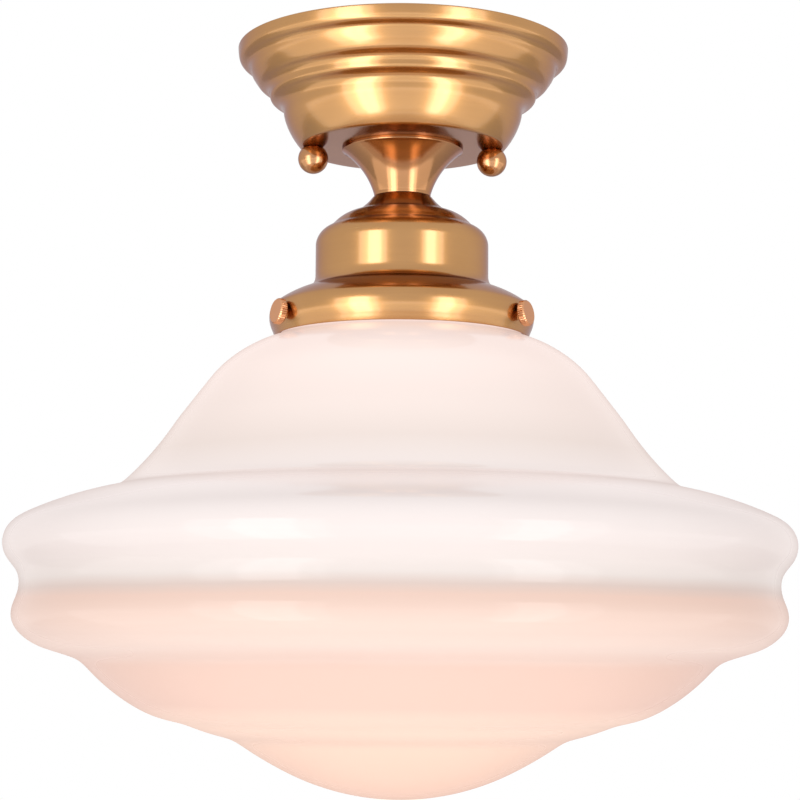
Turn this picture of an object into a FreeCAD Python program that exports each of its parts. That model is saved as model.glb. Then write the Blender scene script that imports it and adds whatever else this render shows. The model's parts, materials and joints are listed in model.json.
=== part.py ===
# Semi flush ceiling light: a stepped brass canopy, a flared neck, a shade
# holder with three thumbscrews, and a hollow opal glass shade round one lamp.
# Millimetres. The origin is the centre of the ceiling plane, +Z points up, and
# everything hangs below z = 0. +X runs along the mounting strap.
import FreeCAD
import Part
import os
from math import cos, pi, radians, sin, tan

V = FreeCAD.Vector
UP = V(0, 0, 1)
ORIGIN = V(0, 0, 0)

# --- clearances ---------------------------------------------------------------
thread_clear = 0.05       # radial, between a male thread and its nut or tapped hole
turn_clear = 0.03         # radial, between two pieces that turn on each other
pass_clear = 0.35         # radial, a rod through a plain hole
seat_gap = 0.3            # between a moving piece and what it comes to rest on

# --- canopy -------------------------------------------------------------------
canopy_rim_r = 65.5       # largest radius, at the ceiling
canopy_height = 39.4      # ceiling to flat underside
canopy_wall = 1.0
canopy_lip = 5.6          # height of the plain band at the rim
canopy_band_r = 60.9      # top of the second band
canopy_band_z = 6.5
canopy_cove_r = 56.7      # bottom of the second band
canopy_cove_z = 14.9
canopy_bead_r = 52.7      # thin bead between the two coves
canopy_bead_z = 18.3
canopy_bowl_r = 47.3      # top of the lower bowl
canopy_bowl_z = 26.2
canopy_plate_r = 40.9     # edge of the flat underside

# --- mounting strap and its studs ---------------------------------------------
strap_length = 106.0
strap_width = 19.0
strap_t = 2.0
strap_bend_r = 4.0        # corner radius of the strap's ends
strap_hole_r = 8.0        # middle hole, for the supply wires
box_spacing = 88.9        # outlet box screws, centre to centre
box_slot_w = 4.6
box_slot_l = 10.0
stud_spacing = 70.8       # the two canopy studs, centre to centre
stud_r = 2.08             # number 8 thread
stud_end_z = 46.0         # how far below the ceiling the studs reach
stud_nut_af = 8.7         # across flats
stud_nut_h = 3.2
ground_x = -20.0          # green screw on the strap
ground_head_r = 4.0
ground_head_h = 2.4
ground_shank_r = 1.75
ground_length = 7.0

# --- ball knobs ---------------------------------------------------------------
knob_r = 5.95
knob_seat_r = 3.65        # flat ring that bears on the canopy
knob_insert_r = 3.0       # threaded bush inside the ball
knob_insert_l = 7.8
knob_floor_gap = 0.4      # space behind the bush

# --- threaded nipple and its nuts -----------------------------------------------
nipple_r = 5.1            # 1/8 inch lamp thread
nipple_bore_r = 3.6
nipple_top_z = 31.0
nipple_bottom_z = 77.5
lock_washer_r = 8.4
lock_washer_t = 0.8
lug_r = 9.0               # ground lug's ring
lug_t = 0.8
lug_tab_w = 5.0
lug_tab_l = 14.0          # reach of the tab from the axis
pipe_nut_af = 14.3
pipe_nut_h = 3.2

# --- flared neck ----------------------------------------------------------------
neck_rim_r = 23.9         # wide mouth against the canopy
neck_rim_h = 1.2
neck_waist_r = 11.2
neck_height = 19.5
neck_wall = 1.2
neck_floor_t = 1.6        # ring that bears on the shade holder

# --- shade holder ---------------------------------------------------------------
holder_wall = 1.0
holder_top_r = 11.4       # flat ring under the neck
holder_flare_r = 18.0     # end of the small flare
holder_flare_h = 6.3      # heights here are all taken from the holder's top
holder_cone_r = 27.0
holder_cone_h = 11.2
holder_shelf_r = 28.4
holder_shelf_h = 12.7
holder_drum_r = 34.0      # the straight cylinder
holder_drum_top_h = 19.3
holder_drum_end_h = 31.7
holder_skirt_top_r = 36.6
holder_skirt_top_h = 37.2
holder_skirt_r = 51.0     # widest part, before the bulge
holder_skirt_h = 44.6
holder_belly_h = 54.1
holder_bulge = 1.1        # how far the belly stands out between the two
holder_edge_r = 49.6      # lower edge
holder_height = 56.7

# --- thumbscrews ----------------------------------------------------------------
screw_count = 3
screw_turn = -2.0         # degrees, how the holder happens to be clocked
screw_rise = 6.0          # where the screw crosses the skirt, above its lower edge
screw_tilt = 7.0          # degrees, outer end up
screw_r = 2.08            # number 8 thread
screw_tip_gap = 0.45      # between the tips and the glass neck
screw_drop = 4.4          # from the top of the glass down to the crossing
head_r = 4.95
head_t = 3.0
head_stand = 0.9          # head's inner face off the skirt
head_socket_depth = 2.2   # blind hole in the head for the shank
knurl_count = 36
knurl_depth = 0.22

# --- glass shade ------------------------------------------------------------------
glass_wall = 3.5
glass_lip_r = 48.0        # four inch fitter
glass_lip_h = 2.5
glass_neck_r = 46.2
glass_shoulder_r = 49.0
glass_shoulder_h = 10.8   # heights here are all taken from the glass top
glass_dome_r = 73.0
glass_dome_h = 25.6
glass_waist_r = 87.1
glass_waist_h = 44.2
glass_fold_r = 109.5      # fold between the dome and the upper collar
glass_fold_h = 70.7
glass_collar_r = 146.6
glass_collar_h = 82.7
glass_under_r = 147.9     # underside of the upper collar
glass_under_h = 100.7
glass_band_r = 145.4      # straight band between the two collars
glass_band_top_h = 104.7
glass_band_end_h = 109.6
glass_bead_r = 147.3      # lower collar
glass_bead_h = 114.2
glass_tuck_r = 145.5
glass_tuck_h = 125.9
glass_foot_r = 132.8
glass_foot_h = 132.7
glass_bowl_r = 122.0      # top of the lower bowl
glass_bowl_h = 136.1
glass_bowl_end_r = 99.5
glass_bowl_end_h = 154.7
glass_step_r = 83.6       # small step above the last bowl
glass_step_h = 159.6
glass_last_r = 64.1
glass_last_h = 165.7
glass_base_r = 45.7
glass_base_h = 177.0
glass_height = 188.5

# --- lamp socket ------------------------------------------------------------------
plate_r = 16.0            # steel plate that screws on the nipple
plate_t = 1.6
plate_drop = 5.5          # below the nut
plate_collar_r = 7.6
plate_collar_h = 6.0
plate_screw_x = 12.0
plate_screw_r = 1.5
plate_screw_head_r = 2.6
plate_screw_head_h = 1.6
plate_screw_l = 8.0
socket_neck_r = 17.0
socket_neck_h = 14.0
socket_body_r = 20.5
socket_height = 45.0
socket_recess_r = 8.6     # wiring space under the plate
socket_recess_h = 13.0
socket_floor_t = 4.5
shell_bore_r = 13.4       # inside of the screw shell
shell_wall = 0.5
shell_length = 26.0
rivet_r = 1.3
rivet_head_r = 2.2
rivet_head_h = 1.0
centre_rivet_x = -3.8
shell_rivet_x = 6.0
contact_w = 5.0
contact_t = 0.5
contact_drop = 3.0        # how far the centre leaf hangs below the floor

# --- lamp -------------------------------------------------------------------------
base_r = 13.1             # screw base
base_wall = 0.4
base_length = 21.0
base_cone_r = 6.0         # the screw base's top opening, at the insulator
base_cone_h = 4.0
insulator_h = 2.6
tip_r = 3.4
tip_h = 1.4
tip_gap = 0.3             # lamp's tip off the centre leaf
bulb_neck_r = 12.4
bulb_r = 30.0
bulb_length = 108.0       # tip to crown
bulb_wall = 0.8
stem_r = 5.0
stem_length = 24.0
support_r = 0.4
filament_w = 18.0
filament_r = 0.7

# --- supply leads -------------------------------------------------------------------
lead_r = 1.1
lead_y = 1.5              # half the spacing of the two leads in the nipple
lead_rise_z = 21.0        # height of the horizontal run inside the canopy
lead_reach = 19.0         # distance from the axis to the wire connector
connector_r = 5.6
connector_tip_r = 3.9
connector_l = 17.0
ground_wire_r = 0.8


# --- helpers --------------------------------------------------------------------------
def arc(p, q, sag):
    """Arc from p to q that stands out by sag, away from the axis when p is above q."""
    chord = q.sub(p)
    normal = V(-chord.z, 0, chord.x)
    normal.normalize()
    middle = p.add(q).multiply(0.5)
    return Part.Arc(p, middle.add(normal.multiply(sag)), q).toShape()


def outline(points):
    """Wire in the XZ plane. A point is (radius, z), or (radius, z, sag) to arrive on an arc."""
    here = V(points[0][0], 0, points[0][1])
    edges = []
    for point in points[1:]:
        there = V(point[0], 0, point[1])
        if len(point) == 3:
            edges.append(arc(here, there, point[2]))
        else:
            edges.append(Part.LineSegment(here, there).toShape())
        here = there
    return Part.Wire(edges)


def cap_sag(radius, height):
    """Sag of an arc that meets the axis level, from a rim of this radius and height."""
    sphere = (radius ** 2 + height ** 2) / (2 * height)
    return sphere - (sphere ** 2 - (radius ** 2 + height ** 2) / 4) ** 0.5


def turned(points):
    """Solid of revolution about Z from a closed outline."""
    wire = outline(list(points) + [points[0]])
    return Part.Face(wire).revolve(ORIGIN, UP, 360)


def spun(points, wall):
    """Sheet of revolution whose outer face follows the outline."""
    section = outline(points).makeOffset2D(-wall, 0, True, True)
    return section.revolve(ORIGIN, UP, 360)


def rod(radius, start, length, axis=UP):
    return Part.makeCylinder(radius, length, start, axis)


def ring(outer, inner, top, height):
    """Flat ring about Z, from z = top down by height."""
    base = V(0, 0, top - height)
    return rod(outer, base, height).cut(rod(inner, base, height))


def hex_nut(across_flats, bore_r, height, top, x=0.0, y=0.0):
    """Hexagon nut with chamfered corners, its top face at z = top."""
    corner = across_flats / 2 / cos(pi / 6)
    points = [V(corner * cos(i * pi / 3), corner * sin(i * pi / 3), 0) for i in range(7)]
    prism = Part.Face(Part.makePolygon(points)).extrude(V(0, 0, height))
    flat = across_flats / 2 * 0.98
    drop = (corner - flat) * 0.5
    barrel = turned([(0, 0), (flat, 0), (corner, drop), (corner, height - drop),
                     (flat, height), (0, height)])
    nut = prism.common(barrel).cut(rod(bore_r, ORIGIN, height))
    nut.translate(V(x, y, top - height))
    return nut


def tube(points, radius, bend):
    """Round wire along straight runs that are joined by arcs of one bend radius."""
    edges = []
    start = points[0]
    for before, corner, after in zip(points, points[1:], points[2:]):
        back = before.sub(corner).normalize()
        ahead = after.sub(corner).normalize()
        turn = pi - back.getAngle(ahead)
        reach = bend * tan(turn / 2)
        first = corner.add(V(back).multiply(reach))
        last = corner.add(V(ahead).multiply(reach))
        inward = back.add(ahead).normalize()
        centre = corner.add(V(inward).multiply(bend / cos(turn / 2)))
        crown = centre.sub(V(inward).multiply(bend))
        edges.append(Part.LineSegment(start, first).toShape())
        edges.append(Part.Arc(first, crown, last).toShape())
        start = last
    edges.append(Part.LineSegment(start, points[-1]).toShape())
    path = Part.Wire(edges)
    direction = points[1].sub(points[0])
    circle = Part.Wire(Part.Circle(points[0], direction, radius).toShape())
    return path.makePipeShell([circle], True, True)


def save(name, shape):
    shape.exportStep("parts/" + name + ".step")


os.makedirs("parts", exist_ok=True)

# --- heights that the pieces share ------------------------------------------------------
floor_z = -canopy_height                     # canopy's flat underside
holder_z = floor_z - neck_height             # top of the shade holder
screw_z = holder_z - holder_height + screw_rise
glass_z = screw_z + screw_drop               # top of the glass lip
plate_z = holder_z - holder_wall - pipe_nut_h - plate_drop
socket_z = plate_z - plate_t
recess_z = socket_z - socket_recess_h        # floor of the wiring space
shell_z = recess_z - socket_floor_t          # top of the screw shell
mouth_z = socket_z - socket_height
contact_z = shell_z - shell_wall - contact_drop
tip_z = contact_z - contact_t - tip_gap      # upper end of the lamp
hole_r = nipple_r + pass_clear
nipple_thread_r = nipple_r + thread_clear
stud_thread_r = stud_r + thread_clear
stud_x = stud_spacing / 2

# --- canopy -------------------------------------------------------------------------------
canopy = spun([
    (canopy_rim_r, 0),
    (canopy_rim_r, -canopy_wall),
    (canopy_rim_r - 0.4, -canopy_lip + 1.4),
    (canopy_rim_r - 1.5, -canopy_lip, 0.28),
    (canopy_band_r, -canopy_band_z),
    (canopy_cove_r + 1.4, -canopy_cove_z + 2.0, 0.71),
    (canopy_cove_r, -canopy_cove_z, 0.24),
    (canopy_bead_r, -canopy_bead_z, -1.27),
    (canopy_bead_r - 1.1, -canopy_bead_z - 2.5, 0.65),
    (canopy_bowl_r, -canopy_bowl_z, -1.59),
    (canopy_plate_r, floor_z + 0.7, 0.87),
    (canopy_plate_r - 0.9, floor_z, 0.21),
    (hole_r, floor_z)], canopy_wall)
for side in (-1, 1):
    hole = rod(stud_r + pass_clear, V(side * stud_x, 0, floor_z - 1), canopy_wall + 2)
    canopy = canopy.cut(hole)
save("canopy", canopy)

# --- mounting strap -------------------------------------------------------------------------
strap = Part.makeBox(strap_length, strap_width, strap_t,
                     V(-strap_length / 2, -strap_width / 2, -strap_t))
strap = strap.makeFillet(strap_bend_r, [edge for edge in strap.Edges
                                        if abs(edge.tangentAt(edge.FirstParameter).z) > 0.99])
strap = strap.cut(rod(strap_hole_r, V(0, 0, -strap_t), strap_t))
for side in (-1, 1):
    strap = strap.cut(rod(stud_thread_r, V(side * stud_x, 0, -strap_t), strap_t))
    straight = box_slot_l - box_slot_w
    middle = side * box_spacing / 2
    slot = Part.makeBox(straight, box_slot_w, strap_t,
                        V(middle - straight / 2, -box_slot_w / 2, -strap_t))
    for end in (-1, 1):
        slot = slot.fuse(rod(box_slot_w / 2, V(middle + end * straight / 2, 0, -strap_t), strap_t))
    strap = strap.cut(slot)
strap = strap.cut(rod(ground_shank_r + thread_clear, V(ground_x, 0, -strap_t), strap_t))
save("mounting_strap", strap)

ground = rod(ground_shank_r, V(0, 0, 0), ground_length)
ground = ground.fuse(rod(ground_head_r, V(0, 0, -ground_head_h), ground_head_h))
ground = ground.cut(Part.makeBox(2 * ground_head_r, 1.0, 1.0, V(-ground_head_r, -0.5, -ground_head_h)))
ground_seat_z = -strap_t - 2 * ground_wire_r
ground.translate(V(ground_x, 0, ground_seat_z))
ground = ground.common(Part.makeBox(40, 40, 40, V(ground_x - 20, -20, -40)))
save("ground_screw", ground)

# --- studs, lock nuts and ball knobs -----------------------------------------------------------
for side, word in ((-1, "left"), (1, "right")):
    x = side * stud_x
    save("canopy_stud_" + word, rod(stud_r, V(x, 0, -stud_end_z), stud_end_z))
    save("stud_nut_" + word, hex_nut(stud_nut_af, stud_thread_r, stud_nut_h, -strap_t, x))

    seat_rise = (knob_r ** 2 - knob_seat_r ** 2) ** 0.5
    centre = V(x, 0, floor_z - seat_rise)
    ball = Part.makeSphere(knob_r, centre)
    ball = ball.cut(rod(knob_r, V(x, 0, floor_z), knob_r))
    insert_end_z = floor_z - knob_insert_l
    ball = ball.cut(rod(knob_insert_r + turn_clear, V(x, 0, insert_end_z - knob_floor_gap),
                        knob_insert_l + knob_floor_gap))
    save("ball_knob_" + word, ball)
    insert = rod(knob_insert_r, V(x, 0, insert_end_z), knob_insert_l)
    insert = insert.cut(rod(stud_thread_r, V(x, 0, insert_end_z), knob_insert_l))
    save("knob_insert_" + word, insert)

# --- nipple, lug, washer and nuts -----------------------------------------------------------------
inner_floor_z = floor_z + canopy_wall
nipple = ring(nipple_r, nipple_bore_r, -nipple_top_z, nipple_bottom_z - nipple_top_z)
save("threaded_nipple", nipple)

lug = rod(lug_r, V(0, 0, inner_floor_z), lug_t)
tab = Part.makeBox(lug_tab_l, lug_tab_w, lug_t, V(-lug_tab_l, -lug_tab_w / 2, inner_floor_z))
lug = lug.fuse(tab).removeSplitter()
lug = lug.cut(rod(hole_r, V(0, 0, inner_floor_z), lug_t))
save("ground_lug", lug)
save("lock_washer", ring(lock_washer_r, hole_r, inner_floor_z + lug_t + lock_washer_t, lock_washer_t))
nut_top = inner_floor_z + lug_t + lock_washer_t + pipe_nut_h
save("canopy_nut", hex_nut(pipe_nut_af, nipple_thread_r, pipe_nut_h, nut_top))
save("holder_nut", hex_nut(pipe_nut_af, nipple_thread_r, pipe_nut_h, holder_z - holder_wall))

# --- flared neck -------------------------------------------------------------------------------------
neck = spun([
    (neck_rim_r, floor_z),
    (neck_rim_r, floor_z - neck_rim_h),
    (neck_rim_r - 0.7, floor_z - neck_rim_h - 0.3),
    (neck_waist_r, holder_z + 0.9, -1.76),
    (neck_waist_r, holder_z)], neck_wall)
neck = neck.fuse(ring(neck_waist_r, hole_r, holder_z + neck_floor_t, neck_floor_t)).removeSplitter()
save("flared_neck", neck)

# --- shade holder ------------------------------------------------------------------------------------
holder = spun([
    (hole_r, holder_z),
    (holder_top_r, holder_z),
    (holder_flare_r, holder_z - holder_flare_h, -0.44),
    (holder_cone_r, holder_z - holder_cone_h, 0.84),
    (holder_shelf_r, holder_z - holder_shelf_h),
    (holder_drum_r, holder_z - holder_drum_top_h, 1.31),
    (holder_drum_r, holder_z - holder_drum_end_h),
    (holder_skirt_top_r, holder_z - holder_skirt_top_h, -0.84),
    (holder_skirt_r, holder_z - holder_skirt_h, 0.8),
    (holder_edge_r + 1.0, holder_z - holder_belly_h, holder_bulge),
    (holder_edge_r, holder_z - holder_height)], holder_wall)

# --- thumbscrews -------------------------------------------------------------------------------------
# Each is made along +X with the skirt's outer face at x = 0, then tilted and turned into place.
skirt_face_r = (holder_skirt_r + holder_edge_r + 1.0) / 2 + holder_bulge - 0.1
tip_x = glass_neck_r + screw_tip_gap - skirt_face_r
shank = rod(screw_r, V(tip_x, 0, 0), head_stand + head_socket_depth - tip_x, V(1, 0, 0))
knurl = [V(0, (head_r - knurl_depth * (i % 2)) * cos(i * pi / knurl_count),
           (head_r - knurl_depth * (i % 2)) * sin(i * pi / knurl_count))
         for i in range(2 * knurl_count + 1)]
head = Part.Face(Part.makePolygon(knurl)).extrude(V(head_t, 0, 0))
chamfer = turned([(0, 0), (head_r - 0.5, 0), (head_r, 0.5), (head_r, head_t - 0.5),
                  (head_r - 0.5, head_t), (0, head_t)])
chamfer.rotate(ORIGIN, V(0, 1, 0), 90)
head = head.common(chamfer)
head.translate(V(head_stand, 0, 0))
head = head.cut(rod(screw_r + turn_clear, V(head_stand, 0, 0), head_socket_depth + 0.2, V(1, 0, 0)))
bore = rod(screw_r + thread_clear, V(-4, 0, 0), 8, V(1, 0, 0))
for index in range(screw_count):
    angle = 90 + screw_turn + index * 360 / screw_count
    placed = []
    for piece in (shank, head, bore):
        copy = piece.copy()
        copy.rotate(ORIGIN, V(0, 1, 0), -screw_tilt)
        copy.translate(V(skirt_face_r, 0, screw_z))
        copy.rotate(ORIGIN, UP, angle)
        placed.append(copy)
    save("thumbscrew_shank_%d" % (index + 1), placed[0])
    save("thumbscrew_head_%d" % (index + 1), placed[1])
    holder = holder.cut(placed[2])
save("shade_holder", holder)

# --- glass shade -------------------------------------------------------------------------------------
glass = outline([
    (glass_neck_r, glass_z),
    (glass_neck_r, glass_z - glass_shoulder_h + 2.6),
    (glass_shoulder_r, glass_z - glass_shoulder_h, -0.7),
    (glass_dome_r, glass_z - glass_dome_h, 2.05),
    (glass_waist_r, glass_z - glass_waist_h),
    (glass_fold_r, glass_z - glass_fold_h, -1.24),
    (glass_collar_r, glass_z - glass_collar_h, 1.45),
    (glass_under_r, glass_z - glass_under_h, 5.09),
    (glass_band_r, glass_z - glass_band_top_h, -0.57),
    (glass_band_r, glass_z - glass_band_end_h),
    (glass_bead_r, glass_z - glass_bead_h, -0.45),
    (glass_tuck_r, glass_z - glass_tuck_h, 2.05),
    (glass_foot_r, glass_z - glass_foot_h, 1.07),
    (glass_bowl_r, glass_z - glass_bowl_h),
    (glass_bowl_end_r, glass_z - glass_bowl_end_h, 1.39),
    (glass_step_r, glass_z - glass_step_h, 0.8),
    (glass_last_r, glass_z - glass_last_h, 0.6),
    (glass_base_r, glass_z - glass_base_h, 0.4),
    (0, glass_z - glass_height, cap_sag(glass_base_r, glass_height - glass_base_h))])
section = glass.makeOffset2D(-glass_wall, 0, True, True)
lip = outline([
    (glass_neck_r - glass_wall / 2, glass_z),
    (glass_lip_r - 0.8, glass_z),
    (glass_lip_r, glass_z - 0.8, 0.23),
    (glass_lip_r, glass_z - glass_lip_h + 0.5),
    (glass_lip_r - 0.5, glass_z - glass_lip_h, 0.15),
    (glass_neck_r - glass_wall / 2, glass_z - glass_lip_h),
    (glass_neck_r - glass_wall / 2, glass_z)])
section = section.fuse(Part.Face(lip)).removeSplitter()
save("glass_shade", section.Faces[0].revolve(ORIGIN, UP, 360))

# --- lamp socket -------------------------------------------------------------------------------------
plate = ring(plate_r, nipple_thread_r, plate_z, plate_t)
plate = plate.fuse(ring(plate_collar_r, nipple_thread_r, socket_z, plate_collar_h)).removeSplitter()
shell_seat_r = shell_bore_r + shell_wall + thread_clear
body = turned([
    (socket_recess_r, socket_z),
    (socket_neck_r, socket_z),
    (socket_neck_r, socket_z - socket_neck_h),
    (socket_body_r, socket_z - socket_neck_h - 3.0, 0.6),
    (socket_body_r, mouth_z + 1.0),
    (socket_body_r - 1.0, mouth_z, 0.25),
    (shell_seat_r + 1.0, mouth_z),
    (shell_seat_r, mouth_z + 1.0),
    (shell_seat_r, shell_z),
    (0, shell_z),
    (0, recess_z),
    (socket_recess_r, recess_z)])
for side in (-1, 1):
    top = V(side * plate_screw_x, 0, plate_z)
    screw = rod(plate_screw_r, V(top.x, 0, plate_z - plate_screw_l), plate_screw_l)
    screw = screw.fuse(rod(plate_screw_head_r, top, plate_screw_head_h))
    screw = screw.cut(Part.makeBox(2 * plate_screw_head_r, 0.8, 0.8,
                                   V(top.x - plate_screw_head_r, -0.4, plate_z + plate_screw_head_h - 0.8)))
    hole = rod(plate_screw_r + thread_clear, V(top.x, 0, plate_z - plate_screw_l - 0.5),
               plate_screw_l + 0.5)
    plate = plate.cut(hole)
    body = body.cut(hole)
    save("socket_screw_left" if side < 0 else "socket_screw_right", screw)
for x in (centre_rivet_x, shell_rivet_x):
    body = body.cut(rod(rivet_r + thread_clear, V(x, 0, shell_z), socket_floor_t))
save("socket_plate", plate)
save("socket_body", body)

shell = ring(shell_bore_r + shell_wall, shell_bore_r, shell_z, shell_length)
crown = ring(shell_bore_r + shell_wall, shell_rivet_x - rivet_head_r, shell_z, shell_wall)
crown = crown.cut(Part.makeBox(2 * shell_bore_r, 2 * shell_bore_r, shell_wall,
                               V(-2 * shell_bore_r - 1.0, -shell_bore_r, shell_z - shell_wall)))
shell = shell.fuse(crown).removeSplitter()
shell = shell.cut(rod(rivet_r + thread_clear, V(shell_rivet_x, 0, shell_z - shell_wall), shell_wall))
save("socket_screw_shell", shell)

leaf_points = [V(centre_rivet_x - 2.6, 0, shell_z), V(centre_rivet_x + 2.4, 0, shell_z),
               V(-1.6, 0, shell_z - shell_wall - contact_drop), V(2.4, 0, shell_z - shell_wall - contact_drop)]
lower = [V(p.x, 0, p.z - contact_t) for p in leaf_points]
lower[1] = V(leaf_points[1].x - 0.45, 0, lower[1].z)
lower[2] = V(leaf_points[2].x - 0.3, 0, lower[2].z)
leaf = Part.Face(Part.makePolygon(leaf_points + lower[::-1] + [leaf_points[0]]))
leaf = leaf.extrude(V(0, contact_w, 0))
leaf.translate(V(0, -contact_w / 2, 0))
leaf = leaf.cut(rod(rivet_r + thread_clear, V(centre_rivet_x, 0, shell_z - contact_t), contact_t))
save("centre_contact", leaf)

for name, x, sheet in (("centre_rivet", centre_rivet_x, contact_t),
                       ("shell_rivet", shell_rivet_x, shell_wall)):
    rivet = rod(rivet_r, V(x, 0, shell_z - sheet), socket_floor_t + sheet)
    rivet = rivet.fuse(rod(rivet_head_r, V(x, 0, recess_z), rivet_head_h))
    rivet = rivet.fuse(rod(rivet_head_r - 0.3, V(x, 0, shell_z - sheet - 0.6), 0.6))
    save(name, rivet.removeSplitter())

# --- lamp --------------------------------------------------------------------------------------------
tip_end_z = tip_z - tip_h
base_top_z = tip_end_z - insulator_h
base_end_z = base_top_z - base_length
tip = turned([(0, tip_z), (tip_r - 0.8, tip_z), (tip_r, tip_end_z, 0.25), (0, tip_end_z)])
save("lamp_tip", tip)
save("lamp_insulator", turned([
    (0, tip_end_z),
    (tip_r + 0.6, tip_end_z),
    (base_cone_r + 0.8, base_top_z),
    (0, base_top_z)]))
base_gap = turn_clear
base = spun([
    (base_cone_r, base_top_z - base_gap),
    (base_cone_r + 2.6, base_top_z - base_gap),
    (base_r, base_top_z - base_cone_h),
    (base_r, base_end_z)], base_wall)
save("lamp_base", base)

crown_z = tip_z - bulb_length
ball_z = crown_z + bulb_r
shoulder_z = base_end_z - 22.0
envelope = spun([
    (bulb_neck_r, base_end_z + 6.0),
    (bulb_neck_r, base_end_z - 2.0),
    (bulb_r - 7.0, shoulder_z, -1.6),
    (bulb_r, ball_z, 3.0),
    (0, crown_z, cap_sag(bulb_r, bulb_r))], bulb_wall)
save("lamp_envelope", envelope)
stem_top_z = base_end_z + 6.0
stem = rod(stem_r, V(0, 0, stem_top_z - stem_length), stem_length)
flange = ring(bulb_neck_r - bulb_wall, stem_r, stem_top_z, 1.2)
save("lamp_stem", stem.fuse(flange).removeSplitter())
filament_z = stem_top_z - stem_length - 22.0
save("lamp_filament", rod(filament_r, V(-filament_w / 2, 0, filament_z), filament_w, V(1, 0, 0)))
supports = []
for side in (-1, 1):
    foot = V(side * (stem_r - 1.2), 0, stem_top_z - stem_length)
    end = V(side * (filament_w / 2 - 1.0), 0, filament_z + filament_r)
    supports.append(rod(support_r, foot, foot.distanceToPoint(end), end.sub(foot)))
save("lamp_supports", Part.makeCompound(supports))

# --- supply leads, ground wire and connectors -----------------------------------------------------------
lead_top_z = -lead_rise_z
collar_end_z = -nipple_bottom_z
for name, x, side in (("lead_black", centre_rivet_x, -1), ("lead_white", shell_rivet_x, 1)):
    points = [
        V(x, 0, recess_z + rivet_head_h),
        V(x, 0, recess_z + rivet_head_h + 1.6),
        V(0, side * lead_y, collar_end_z - 1.4),
        V(0, side * lead_y, lead_top_z),
        V(0, side * (lead_reach + 4.0), lead_top_z)]
    wire = tube(points, lead_r, 1.5)
    save(name, wire)
    cap = turned([(0, 0), (connector_r, 0), (connector_r, 3.0), (connector_r - 0.6, 4.0),
                  (connector_tip_r, connector_l - 1.5), (connector_tip_r - 1.5, connector_l),
                  (0, connector_l)])
    cap = cap.cut(rod(lead_r + 0.4, ORIGIN, 6.0))
    cap.rotate(ORIGIN, V(1, 0, 0), -90 * side)
    cap.translate(V(0, side * lead_reach, lead_top_z))
    save("wire_connector_" + name.split("_")[1], cap)

lug_top_z = inner_floor_z + lug_t
hook_x = ground_x - ground_shank_r - ground_wire_r - 0.1
hook_y = ground_head_r + ground_wire_r
ground_points = [
    V(-lug_tab_l + 2.2, 0, lug_top_z),
    V(-lug_tab_l + 2.2, 0, lug_top_z + 10.0),
    V(hook_x, hook_y, lug_top_z + 18.0),
    V(hook_x, hook_y, ground_seat_z + ground_wire_r),
    V(hook_x, -hook_y, ground_seat_z + ground_wire_r)]
save("ground_wire", tube(ground_points, ground_wire_r, 2.0))
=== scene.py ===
import json
from math import atan2, cos, pi, radians, sin, sqrt
import bmesh
import bpy
from mathutils import Matrix, Vector


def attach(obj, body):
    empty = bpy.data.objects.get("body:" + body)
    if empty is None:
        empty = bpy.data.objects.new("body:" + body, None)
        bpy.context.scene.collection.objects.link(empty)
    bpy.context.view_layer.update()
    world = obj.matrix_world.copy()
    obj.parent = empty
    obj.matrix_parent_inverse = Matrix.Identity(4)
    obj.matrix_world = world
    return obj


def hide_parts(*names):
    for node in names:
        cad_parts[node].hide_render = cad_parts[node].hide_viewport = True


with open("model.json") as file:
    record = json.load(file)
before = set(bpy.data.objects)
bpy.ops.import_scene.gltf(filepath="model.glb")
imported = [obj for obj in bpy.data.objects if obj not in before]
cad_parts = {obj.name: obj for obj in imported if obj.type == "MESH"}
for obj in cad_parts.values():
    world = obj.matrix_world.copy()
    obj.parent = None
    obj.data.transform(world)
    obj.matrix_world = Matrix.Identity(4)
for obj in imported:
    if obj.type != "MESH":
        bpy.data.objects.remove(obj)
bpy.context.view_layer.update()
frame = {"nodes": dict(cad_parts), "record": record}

# --- camera ---------------------------------------------------------------------
# A long lens 849 mm from the fixture's axis and 240 mm below the ceiling plane.
# It looks up by 6.8 degrees, leans a little, and stands 2.6 degrees off square
# to the mounting strap, so the left ball knob is slightly nearer.
image_width = 800
focal_pixels = 2186.6
stand_off = 0.849
eye_level = -0.2405
look_up = radians(6.77)
lean = radians(0.36)
off_square = radians(2.55)
aside = 1.1 / focal_pixels

rightward = Vector((cos(off_square), -sin(off_square), 0))
inward = Vector((sin(off_square), cos(off_square), 0))
gaze = (inward * cos(look_up) + Vector((0, 0, sin(look_up))) - rightward * aside).normalized()
level = gaze.cross(Vector((0, 0, 1))).normalized()
upright = level.cross(gaze)
side_axis = level * cos(lean) + upright * sin(lean)
top_axis = upright * cos(lean) - level * sin(lean)
camera_data = bpy.data.cameras.new("camera")
camera_data.sensor_width = 36.0
camera_data.lens = camera_data.sensor_width * focal_pixels / image_width
camera = bpy.data.objects.new("camera", camera_data)
camera.matrix_world = Matrix.Translation(inward * -stand_off + Vector((0, 0, eye_level))) @ Matrix(
    (side_axis, top_axis, -gaze)).transposed().to_4x4()
bpy.context.collection.objects.link(camera)
bpy.context.scene.camera = camera
bpy.context.scene.view_settings.view_transform = "Standard"


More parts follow.
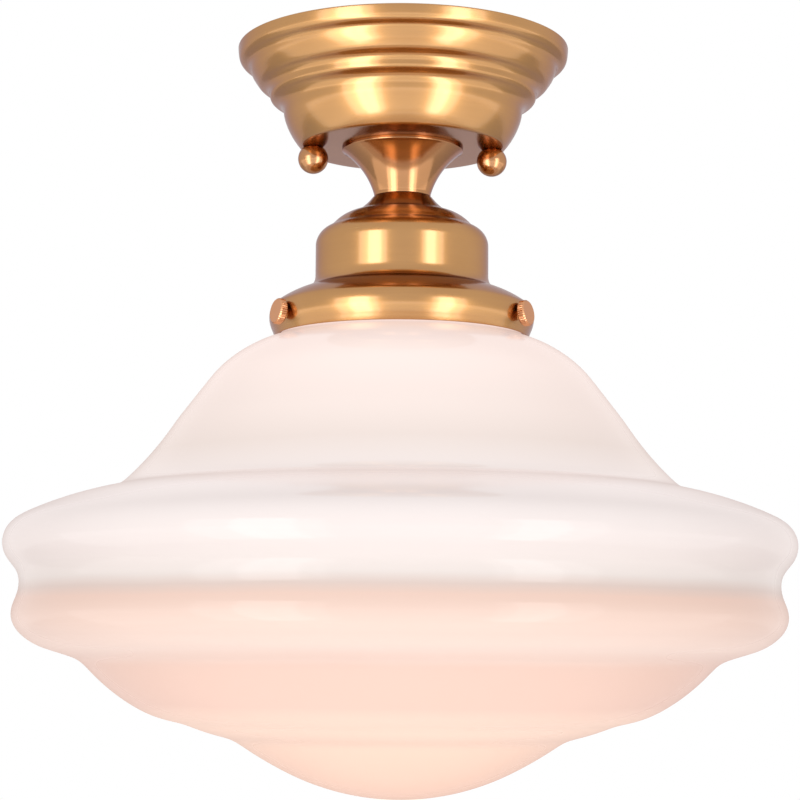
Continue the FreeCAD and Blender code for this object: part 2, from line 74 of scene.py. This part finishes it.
# --- studio -----------------------------------------------------------------------
# A white surround. Tall softboxes left and right of the camera, each with a
# brighter core, draw the upright bars on the brass. Three low ones draw the pale
# windows on the glass, and one lights the pale floor, well below the fixture.
class Value:
    """A shader socket that can be used in arithmetic."""

    def __init__(self, tree, socket):
        self.tree = tree
        self.socket = socket

    def work(self, operation, first, second):
        node = self.tree.nodes.new("ShaderNodeMath")
        node.operation = operation
        for slot, item in zip(node.inputs, (first, second)):
            plug(self.tree, slot, item)
        return Value(self.tree, node.outputs[0])

    def __add__(self, other):
        return self.work("ADD", self, other)

    def __radd__(self, other):
        return self.work("ADD", other, self)

    def __sub__(self, other):
        return self.work("SUBTRACT", self, other)

    def __rsub__(self, other):
        return self.work("SUBTRACT", other, self)

    def __mul__(self, other):
        return self.work("MULTIPLY", self, other)

    def __rmul__(self, other):
        return self.work("MULTIPLY", other, self)

    def __truediv__(self, other):
        return self.work("DIVIDE", self, other)

    def __pow__(self, other):
        return self.work("POWER", self, other)


def plug(tree, slot, item):
    """Links a Value to a node's socket, or sets a plain number or colour on it."""
    if isinstance(item, Value):
        tree.links.new(item.socket, slot)
    else:
        slot.default_value = item


class Nodes:
    """The node tree of one material or of the world."""

    def __init__(self, tree):
        self.tree = tree
        tree.nodes.clear()

    def add(self, kind, settings=None, inputs=None, output=0):
        node = self.tree.nodes.new("ShaderNode" + kind)
        stops = None
        for key, item in (settings or {}).items():
            if key == "stops":
                stops = item
            else:
                setattr(node, key, item)
        if stops:
            ramp = node.color_ramp
            while len(ramp.elements) < len(stops):
                ramp.elements.new(1.0)
            for element, (place, colour) in zip(ramp.elements, stops):
                element.position = place
                element.color = (*colour, 1.0)
        for key, item in (inputs or {}).items():
            plug(self.tree, node.inputs[key], item)
        return Value(self.tree, node.outputs[output]) if node.outputs else None


world = bpy.data.worlds.new("studio")
bpy.context.scene.world = world
world.use_nodes = True
air = Nodes(world.node_tree)
seen = air.add("LightPath", output="Is Camera Ray")
seen = seen + air.add("LightPath", output="Is Glossy Ray")
seen = seen + air.add("LightPath", output="Is Transmission Ray")
fill_light = air.add("Background", inputs={"Color": (0.97, 0.98, 1.0, 1.0), "Strength": 0.36})
white_wall = air.add("Background", inputs={"Color": (1.0, 1.0, 1.0, 1.0), "Strength": 1.0})
air.add("OutputWorld", inputs={"Surface": air.add(
    "MixShader", inputs={0: seen, 1: fill_light, 2: white_wall})})


def softbox(name, azimuth, wide, tall, away, height, power, colour=(1.0, 1.0, 1.0), down=False):
    """An area lamp; azimuth is counted from the camera's side, positive to the right."""
    data = bpy.data.lights.new(name, "AREA")
    data.shape = "RECTANGLE"
    data.size = wide
    data.size_y = tall
    data.energy = power
    data.color = colour
    lamp = bpy.data.objects.new(name, data)
    aim = rightward * sin(azimuth) - inward * cos(azimuth)
    lamp.location = aim * away + Vector((0, 0, height))
    if not down:
        lamp.rotation_euler = aim.to_track_quat("Z", "Y").to_euler()
    bpy.context.collection.objects.link(lamp)


softbox("softbox_left", radians(-39), 1.05, 2.1, 1.5, -0.7, 11.0)
softbox("softbox_right", radians(41), 0.8, 2.1, 1.5, -0.7, 8.0)
softbox("left_core", radians(-36), 0.45, 2.1, 1.45, -0.7, 7.5)
softbox("right_core", radians(38), 0.35, 2.1, 1.45, -0.7, 5.5)
for name, azimuth in (("low_left", -72), ("low_front", 0), ("low_right", 72)):
    softbox(name, radians(azimuth), 2.3, 1.6, 1.7, -1.05, 8.0)
softbox("floor_wash", 0.0, 3.0, 3.0, 0.0, -1.2, 18.0, down=True)

floor_r, floor_level = 7.0, -1.9
floor_mesh = bmesh.new()
bmesh.ops.create_circle(floor_mesh, cap_ends=True, segments=96, radius=floor_r)
bmesh.ops.translate(floor_mesh, verts=floor_mesh.verts, vec=(0, 0, floor_level))
floor_data = bpy.data.meshes.new("floor")
floor_mesh.to_mesh(floor_data)
floor_mesh.free()
floor = bpy.data.objects.new("floor", floor_data)
bpy.context.collection.objects.link(floor)
floor_paint = bpy.data.materials.new("pale_floor")
floor_paint.use_nodes = True
paint = Nodes(floor_paint.node_tree)
grain = paint.add("TexNoise", inputs={"Scale": 3.0, "Detail": 2.0})
paint.add("OutputMaterial", inputs={"Surface": paint.add("BsdfPrincipled", inputs={
    "Base Color": paint.add("Mix", {"data_type": "RGBA"}, {
        "Factor": grain, 6: (0.86, 0.86, 0.86, 1.0), 7: (0.9, 0.9, 0.9, 1.0)}, output=2),
    "Roughness": 0.7,
    "Emission Color": (1.0, 1.0, 1.0, 1.0),
    "Emission Strength": 0.3})})
floor_data.materials.append(floor_paint)


# --- canopy -------------------------------------------------------------------------
# The cover over the ceiling box: one sheet of brass, 1 mm thick, spun over a
# former in steps, with a flat underside. It is brushed on the lathe, then lacquered.
mm = 0.001


def outline(points, spacing=1.2):
    """Points in the XZ plane, in metres. A point (r, z, sag) is reached on an arc that stands out by sag."""
    line = [Vector((points[0][0], 0, points[0][1]))]
    for point in points[1:]:
        start, end = line[-1], Vector((point[0], 0, point[1]))
        chord = end - start
        sag = point[2] if len(point) == 3 else 0
        if abs(sag) < 1e-6:
            line.append(end)
            continue
        radius = (chord.length ** 2 / 4 + sag ** 2) / (2 * abs(sag))
        side = Vector((-chord.z, 0, chord.x)).normalized() * (1 if sag > 0 else -1)
        centre = (start + end) / 2 + side * (abs(sag) - radius)
        first = atan2(start.z - centre.z, start.x - centre.x)
        sweep = atan2(end.z - centre.z, end.x - centre.x) - first
        while sweep > pi:
            sweep -= 2 * pi
        while sweep < -pi:
            sweep += 2 * pi
        parts = max(3, round(abs(sweep) * radius / spacing))
        line += [centre + Vector((cos(first + sweep * i / parts), 0, sin(first + sweep * i / parts))) * radius
                 for i in range(1, parts + 1)]
    return [point * mm for point in line]


def eased(line, passes, spacing=0.8 * mm):
    """Evens out an outline's spacing, then rounds its folds a little more with every pass."""
    even = [line[0]]
    for start, end in zip(line, line[1:]):
        parts = max(1, round((end - start).length / spacing))
        even += [start.lerp(end, i / parts) for i in range(1, parts + 1)]
    for _ in range(passes):
        even = [even[0]] + [(a + b * 2 + c) / 4 for a, b, c in zip(even, even[1:], even[2:])] + [even[-1]]
    return even


def spun(line, steps=160, wall=None, axis=Vector((0, 0, 0))):
    """Turns an outline about the upright axis; with a wall, gives the sheet its thickness inwards."""
    sheet = bmesh.new()
    corners = [sheet.verts.new(point) for point in line]
    edges = [sheet.edges.new(pair) for pair in zip(corners, corners[1:])]
    bmesh.ops.spin(sheet, geom=corners + edges, cent=(0, 0, 0), axis=(0, 0, 1),
                   angle=2 * pi, steps=steps, use_merge=True)
    bmesh.ops.remove_doubles(sheet, verts=sheet.verts, dist=1e-6)
    bmesh.ops.recalc_face_normals(sheet, faces=sheet.faces)
    if wall:
        bmesh.ops.solidify(sheet, geom=sheet.faces[:], thickness=wall)
    bmesh.ops.translate(sheet, verts=sheet.verts, vec=axis)
    return sheet


def soften(mesh, angle=50, width=0.15 * mm):
    """Bevels the edges that turn by more than the angle."""
    sharp = [edge for edge in mesh.edges
             if len(edge.link_faces) == 2 and edge.calc_face_angle() > radians(angle)]
    bmesh.ops.bevel(mesh, geom=sharp, offset=width, offset_type="OFFSET", segments=2,
                    profile=0.5, affect="EDGES", material=-1, clamp_overlap=True)


def piece(name, mesh, body, nodes, finish, crease=40):
    """Makes an object of the mesh that rides on a body in the place of CAD nodes."""
    for face in mesh.faces:
        face.smooth = True
    for edge in mesh.edges:
        edge.smooth = len(edge.link_faces) == 2 and edge.calc_face_angle() < radians(crease)
    data = bpy.data.meshes.new(name)
    mesh.to_mesh(data)
    mesh.free()
    data.materials.append(finish)
    made = bpy.data.objects.new(name, data)
    bpy.context.collection.objects.link(made)
    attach(made, body)
    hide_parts(*nodes)
    return made


def new_finish(name):
    material = bpy.data.materials.new(name)
    material.use_nodes = True
    return material, Nodes(material.node_tree)


def lathe_marks(nodes, centre, pitch):
    """Fine rings round an upright axis: noise that is stretched along the turning direction."""
    place = nodes.add("TexCoord", output="Object")
    moved = nodes.add("VectorMath", {"operation": "SUBTRACT"}, {0: place, 1: centre})
    x = nodes.add("SeparateXYZ", inputs={0: moved}, output=0)
    y = nodes.add("SeparateXYZ", inputs={0: moved}, output=1)
    z = nodes.add("SeparateXYZ", inputs={0: moved}, output=2)
    radius = nodes.add("Math", {"operation": "SQRT"}, {0: x * x + y * y})
    around = nodes.add("Math", {"operation": "ARCTAN2"}, {0: y, 1: x})
    ringed = nodes.add("CombineXYZ", inputs={0: radius / pitch, 1: z / pitch, 2: around * 1.3})
    rings = nodes.add("TexNoise", inputs={"Vector": ringed, "Scale": 1.0, "Detail": 3.0, "Roughness": 0.6})
    return rings, place


def brass(name, centre=(0, 0, 0), pitch=0.3 * mm, roughness=0.25,
          dark=(0.42, 0.19, 0.038), light=(0.49, 0.235, 0.058)):
    """Satin brass under clear lacquer, brushed in fine rings round its own axis."""
    material, nodes = new_finish(name)
    rings, place = lathe_marks(nodes, centre, pitch)
    cloud = nodes.add("TexNoise", inputs={"Vector": place, "Scale": 28.0, "Detail": 3.0, "Roughness": 0.55})
    smudge = nodes.add("TexNoise", inputs={"Vector": place, "Scale": 90.0, "Detail": 2.0, "Roughness": 0.5})
    tone = nodes.add("MapRange", inputs={0: rings * 0.35 + cloud * 0.65, 1: 0.3, 2: 0.7, 3: 0.0, 4: 1.0})
    colour = nodes.add("Mix", {"data_type": "RGBA"}, {
        "Factor": tone, 6: (*dark, 1.0), 7: (*light, 1.0)}, output=2)
    gloss = roughness + (rings - 0.5) * 0.05 + (smudge - 0.5) * 0.06
    relief = nodes.add("Bump", inputs={"Strength": 0.05, "Distance": 0.05 * mm, "Height": rings})
    # Painted edge shade: a mauve specular tint and a lacquer coat that thins towards the turned-away edges
    # darken the brass's grazing reflections.
    turned_away = nodes.add("LayerWeight", inputs={"Blend": 0.5}, output=1)
    nodes.add("OutputMaterial", inputs={"Surface": nodes.add("BsdfPrincipled", inputs={
        "Base Color": colour,
        "Metallic": 1.0,
        "Roughness": gloss,
        "Specular Tint": (0.45, 0.36, 0.44, 1.0),
        "Coat Weight": 1.0 - turned_away * 0.80,
        "Coat IOR": 1.75,
        "Coat Roughness": 0.13,
        "Normal": relief})})
    return material


canopy_brass = brass("canopy_brass")
rim_r, height, wall = 65.5, 39.4, 1.0
hole_r = 5.45
canopy_line = outline([
    (rim_r, 0), (rim_r, -wall), (rim_r - 0.4, -4.2), (rim_r - 1.5, -5.6, 0.28), (60.9, -6.5),
    (58.1, -12.9, 0.71), (56.7, -14.9, 0.24), (52.7, -18.3, -1.27), (51.6, -20.8, 0.65),
    (47.3, -26.2, -1.59), (40.9, -height + 0.7, 0.87), (40.0, -height, 0.21), (hole_r, -height)], 0.7)
canopy = spun(eased(canopy_line, 6, 0.5 * mm), 192, wall * mm)
for vert in canopy.verts:
    vert.co.z = min(vert.co.z, 0)
soften(canopy, 60)
piece("canopy_cover", canopy, "fixture", ["canopy"], canopy_brass)

# --- flared neck ----------------------------------------------------------------------
# A turned brass trumpet between the canopy and the shade holder. Its wide mouth
# bears on the canopy's underside and the nipple clamps it from inside.
neck_top = -height
holder_top = -58.9
neck_line = outline([
    (23.9, neck_top), (23.9, neck_top - 1.2), (23.2, neck_top - 1.5),
    (11.2, holder_top + 0.9, -1.76), (11.2, holder_top), (hole_r, holder_top)], 0.6)
neck = spun(neck_line, 128, 1.2 * mm)
soften(neck, 60)
# The neck's brass is a darker copy of the canopy's brass: painted shade.
piece("neck_trumpet", neck, "fixture", ["flared_neck"],
      brass("neck_brass", (0, 0, 0), 0.25 * mm, 0.17, (0.36, 0.14, 0.024), (0.43, 0.175, 0.036)))

# --- shade holder ---------------------------------------------------------------------
# The spun brass holder: a small flare, a straight drum over the socket, and a
# skirt that carries the three thumbscrews under its widest part.
holder_line = outline([
    (hole_r, holder_top), (11.4, holder_top), (18.0, holder_top - 6.3, -0.44),
    (27.0, holder_top - 11.2, 0.84), (28.4, holder_top - 12.7),
    (34.0, holder_top - 19.3, 1.31), (34.0, holder_top - 31.7),
    (36.6, holder_top - 37.2, -0.84), (51.0, holder_top - 44.6, 0.8), (50.6, holder_top - 54.1, 1.1),
    (49.6, holder_top - 56.7)], 0.7)
holder = spun(eased(holder_line, 2, 0.5 * mm), 160, 1.0 * mm)
soften(holder, 60)
piece("holder_spinning", holder, "fixture", ["shade_holder"], brass("holder_brass"))

# --- glass shade ------------------------------------------------------------------------
# Blown opal glass, 3.5 mm thick, 305 mm across: a dome, two rolled collars with
# a straight band between them, and a stepped bowl. The thumbscrews hold it by the thicker lip at its mouth.
# The light of the lamp inside is painted on the glass as its own glow: emission by height, with painted light
# and shade bands over the collars and folds, and painted shade towards the turned-away rim.
glass_wall = 3.5
glow_top, glow_end = -113 * mm, -293 * mm
glass_line = outline([
    (46.2, -105.2), (46.2, -113.4), (49.0, -116.0, -0.7), (73.0, -130.8, 2.05),
    (87.1, -149.4), (109.5, -175.9, -1.24), (146.6, -187.9, 1.45), (147.9, -205.9, 5.09),
    (145.4, -209.9, -0.57), (145.4, -214.8), (147.3, -219.4, -0.45), (145.5, -231.1, 2.05),
    (132.8, -237.9, 1.07), (122.0, -241.3), (99.5, -259.9, 1.39), (83.6, -264.8, 0.8),
    (64.1, -270.9, 0.6), (45.7, -282.2, 0.4), (0, -293.7, 2.9)], 1.6)
shade = spun(eased(glass_line, 6, 1.4 * mm), 192, glass_wall * mm)
opal, opal_nodes = new_finish("opal_glass")
place = opal_nodes.add("TexCoord", output="Object")
depth = opal_nodes.add("SeparateXYZ", inputs={0: place}, output=2)
swirl = opal_nodes.add("TexNoise", inputs={"Vector": place, "Scale": 7.0, "Detail": 3.0, "Roughness": 0.5})
drop = opal_nodes.add("MapRange", inputs={
    0: depth + (swirl - 0.5) * 5 * mm, 1: glow_top, 2: glow_end, 3: 0.0, 4: 1.0})
# Painted light and shade: a glow ramp by height stands in for the lamp inside, with lighter and darker bands
# where the collars and folds catch or lose light.
glow = opal_nodes.add("ValToRGB", {"stops": [
    (0.0, (0.92, 0.76, 0.71)),
    (0.28, (0.70, 0.60, 0.55)),
    (0.38, (0.81, 0.75, 0.74)),
    (0.50, (0.50, 0.43, 0.41)),
    (0.55, (0.49, 0.43, 0.40)),
    (0.57, (0.44, 0.32, 0.27)),
    (0.59, (0.57, 0.35, 0.26)),
    (0.66, (0.54, 0.33, 0.24)),
    (0.69, (0.63, 0.41, 0.31)),
    (0.72, (0.52, 0.25, 0.15)),
    (0.80, (0.58, 0.275, 0.16)),
    (0.84, (0.76, 0.45, 0.28)),
    (0.88, (0.66, 0.35, 0.195)),
    (1.0, (0.66, 0.29, 0.125))]}, {0: drop})
turned_away = opal_nodes.add("LayerWeight", inputs={"Blend": 0.5}, output=1)
# Painted shade: the painted glow is dimmed towards the turned-away rim.
glow_with_painted_rim_shade = opal_nodes.add("Mix", {"data_type": "RGBA", "blend_type": "MULTIPLY"}, {
    "Factor": turned_away ** 2.0, 6: glow, 7: (0.55, 0.48, 0.46, 1.0)}, output=2)
ripple = opal_nodes.add("TexNoise", inputs={"Vector": place, "Scale": 16.0, "Detail": 1.0})
# The base colour is kept low because the painted glow gives most of the glass's brightness.
opal_nodes.add("OutputMaterial", inputs={"Surface": opal_nodes.add("BsdfPrincipled", inputs={
    "Base Color": opal_nodes.add("Mix", {"data_type": "RGBA"}, {
        "Factor": swirl, 6: (0.24, 0.22, 0.215, 1.0), 7: (0.27, 0.25, 0.24, 1.0)}, output=2),
    "Roughness": 0.05 + (swirl - 0.5) * 0.02 + turned_away ** 4.0 * 0.5,
    "IOR": 1.5,
    "Specular IOR Level": 0.2,
    "Emission Color": glow_with_painted_rim_shade,
    "Emission Strength": 1.0,
    "Normal": opal_nodes.add("Bump", inputs={"Strength": 0.12, "Distance": 0.3 * mm, "Height": ripple})})})
piece("opal_shade", shade, "fixture", ["glass_shade"], opal)
lip_line = outline([
    (44.4, -105.3), (47.2, -105.3), (48.0, -106.1, 0.23), (48.0, -107.2), (47.5, -107.6, 0.15),
    (44.4, -107.6), (44.4, -105.3)], 0.3)
lip = spun(lip_line, 128)
piece("opal_lip", lip, "fixture", ["glass_shade"], opal)

# --- ball knobs -----------------------------------------------------------------------------
# Two 12 mm turned brass balls that screw up the studs and draw the canopy
# against the ceiling. Each has a flat ring where it bears on the canopy.
knob_r = 5.95 * mm
seat_r = 3.65 * mm
well_depth = 8.0 * mm
stud_x = 35.4 * mm
for word, x in (("left", -stud_x), ("right", stud_x)):
    centre = Vector((x, 0, -height * mm - sqrt(knob_r ** 2 - seat_r ** 2)))
    ball = bmesh.new()
    bmesh.ops.create_uvsphere(ball, u_segments=64, v_segments=40, radius=knob_r)
    bmesh.ops.translate(ball, verts=ball.verts, vec=centre)
    cut = bmesh.ops.bisect_plane(ball, geom=ball.verts[:] + ball.edges[:] + ball.faces[:], dist=1e-7,
                                 plane_co=(0, 0, -height * mm), plane_no=(0, 0, 1), clear_outer=True)
    rim = [item for item in cut["geom_cut"] if isinstance(item, bmesh.types.BMEdge)]
    inner = bmesh.ops.extrude_edge_only(ball, edges=rim)["geom"]
    ring = [item for item in inner if isinstance(item, bmesh.types.BMVert)]
    bmesh.ops.scale(ball, verts=ring, vec=(0.84, 0.84, 1), space=Matrix.Translation(-centre))
    ring_edges = [item for item in inner if isinstance(item, bmesh.types.BMEdge)]
    well = bmesh.ops.extrude_edge_only(ball, edges=ring_edges)["geom"]
    well_verts = [item for item in well if isinstance(item, bmesh.types.BMVert)]
    bmesh.ops.translate(ball, verts=well_verts, vec=(0, 0, -well_depth))
    bmesh.ops.contextual_create(ball, geom=[item for item in well if isinstance(item, bmesh.types.BMEdge)])
    bmesh.ops.recalc_face_normals(ball, faces=ball.faces)
    # The knobs' brass is a darker copy of the canopy's brass: painted shade.
    piece("knob_ball_" + word, ball, "knob_%s_turn" % word, ["ball_knob_" + word],
          brass("knob_brass_" + word, (x, 0, 0), 0.3 * mm, 0.24, (0.40, 0.165, 0.040), (0.47, 0.20, 0.055)))

# --- thumbscrews --------------------------------------------------------------------------------
# Three number 8 screws with 10 mm knurled brass heads. They tilt up a little,
# pass through the skirt, and hold the glass by the groove under its lip.
head_r, head_t, stand = 4.95 * mm, 3.0 * mm, 0.9 * mm
knurls, knurl_depth, chamfer = 36, 0.22 * mm, 0.5 * mm
skirt_r, screw_level, tilt, first_turn = 51.8 * mm, -109.6 * mm, radians(7.0), 88.0
for number in (1, 2, 3):
    angle = radians(first_turn + (number - 1) * 120)
    head = bmesh.new()
    bmesh.ops.create_circle(head, cap_ends=True, segments=2 * knurls, radius=head_r - chamfer)
    cap = head.faces[:]
    for step, (rise, factor) in enumerate((
            (chamfer, head_r / (head_r - chamfer)), (head_t - 2 * chamfer, 1.0),
            (chamfer, (head_r - chamfer) / head_r))):
        grown = bmesh.ops.extrude_face_region(head, geom=cap)["geom"]
        if step:
            bmesh.ops.delete(head, geom=cap, context="FACES_ONLY")
        cap = [item for item in grown if isinstance(item, bmesh.types.BMFace)]
        verts = [item for item in grown if isinstance(item, bmesh.types.BMVert)]
        bmesh.ops.translate(head, verts=verts, vec=(0, 0, rise))
        bmesh.ops.scale(head, verts=verts, vec=(factor, factor, 1))
    for vert in head.verts:
        if vert.co.xy.length > head_r - 0.1 * mm:
            tooth = round(atan2(vert.co.y, vert.co.x) * knurls / pi)
            if tooth % 2:
                vert.co.xy *= 1 - knurl_depth / head_r
    bmesh.ops.recalc_face_normals(head, faces=head.faces)
    into_place = (Matrix.Rotation(angle, 4, "Z") @ Matrix.Translation((skirt_r, 0, screw_level))
                  @ Matrix.Rotation(-tilt, 4, "Y") @ Matrix.Translation((stand, 0, 0))
                  @ Matrix.Rotation(pi / 2, 4, "Y"))
    bmesh.ops.transform(head, matrix=into_place, verts=head.verts)
    piece("thumb_head_%d" % number, head, "thumbscrew_%d_turn" % number,
          ["thumbscrew_head_%d" % number],
          brass("thumb_brass_%d" % number, roughness=0.3,
                dark=(0.58, 0.25, 0.09), light=(0.66, 0.30, 0.115)), 25)

# --- hidden hardware ------------------------------------------------------------------------------
# Strap, studs, nuts, nipple, socket, lamp and leads stay as CAD made them: turned
# or pressed metal, porcelain, drawn glass and insulated wire, one finish a slot.
def plain_metal(name, colour, roughness, metallic=1.0, scale=400.0):
    material, nodes = new_finish(name)
    place = nodes.add("TexCoord", output="Object")
    speck = nodes.add("TexNoise", inputs={"Vector": place, "Scale": scale, "Detail": 3.0})
    shade = [part * 0.82 for part in colour]
    nodes.add("OutputMaterial", inputs={"Surface": nodes.add("BsdfPrincipled", inputs={
        "Base Color": nodes.add("Mix", {"data_type": "RGBA"}, {
            "Factor": speck, 6: (*shade, 1.0), 7: (*colour, 1.0)}, output=2),
        "Metallic": metallic,
        "Roughness": roughness + (speck - 0.5) * 0.2,
        "Normal": nodes.add("Bump", inputs={"Strength": 0.1, "Distance": 0.05 * mm, "Height": speck})})})
    return material


finishes = {
    "zinc_steel": plain_metal("zinc_plate", (0.62, 0.64, 0.66), 0.32),
    "green_steel": plain_metal("green_screw", (0.05, 0.30, 0.10), 0.35, 0.2),
    "brass_turned": plain_metal("screw_brass", (0.60, 0.33, 0.12), 0.3),
    "contact_brass": plain_metal("contact_brass", (0.72, 0.50, 0.18), 0.3),
    "porcelain": plain_metal("porcelain", (0.86, 0.85, 0.80), 0.15, 0.0, 60.0),
    "lamp_cap": plain_metal("lamp_cap", (0.75, 0.75, 0.76), 0.3),
    "black_glass": plain_metal("black_glass", (0.02, 0.02, 0.025), 0.1, 0.0),
    "solder": plain_metal("solder", (0.6, 0.6, 0.6), 0.4),
    "frosted_glass": plain_metal("frosted_glass", (0.9, 0.87, 0.82), 0.5, 0.0, 80.0),
    "clear_glass": plain_metal("clear_glass", (0.8, 0.85, 0.85), 0.1, 0.0, 80.0),
    "tungsten": plain_metal("tungsten", (0.25, 0.24, 0.23), 0.5),
    "black_insulation": plain_metal("black_insulation", (0.02, 0.02, 0.02), 0.45, 0.0),
    "white_insulation": plain_metal("white_insulation", (0.85, 0.85, 0.82), 0.45, 0.0),
    "copper": plain_metal("copper_wire", (0.80, 0.36, 0.20), 0.3),
    "orange_plastic": plain_metal("connector_plastic", (0.80, 0.22, 0.03), 0.4, 0.0),
}
slots = {row["node"]: row["material_slot"] for row in frame["record"]["subparts"]}
for name, node in frame["nodes"].items():
    if slots[name] in finishes:
        for index in range(len(node.material_slots)):
            node.material_slots[index].material = finishes[slots[name]]
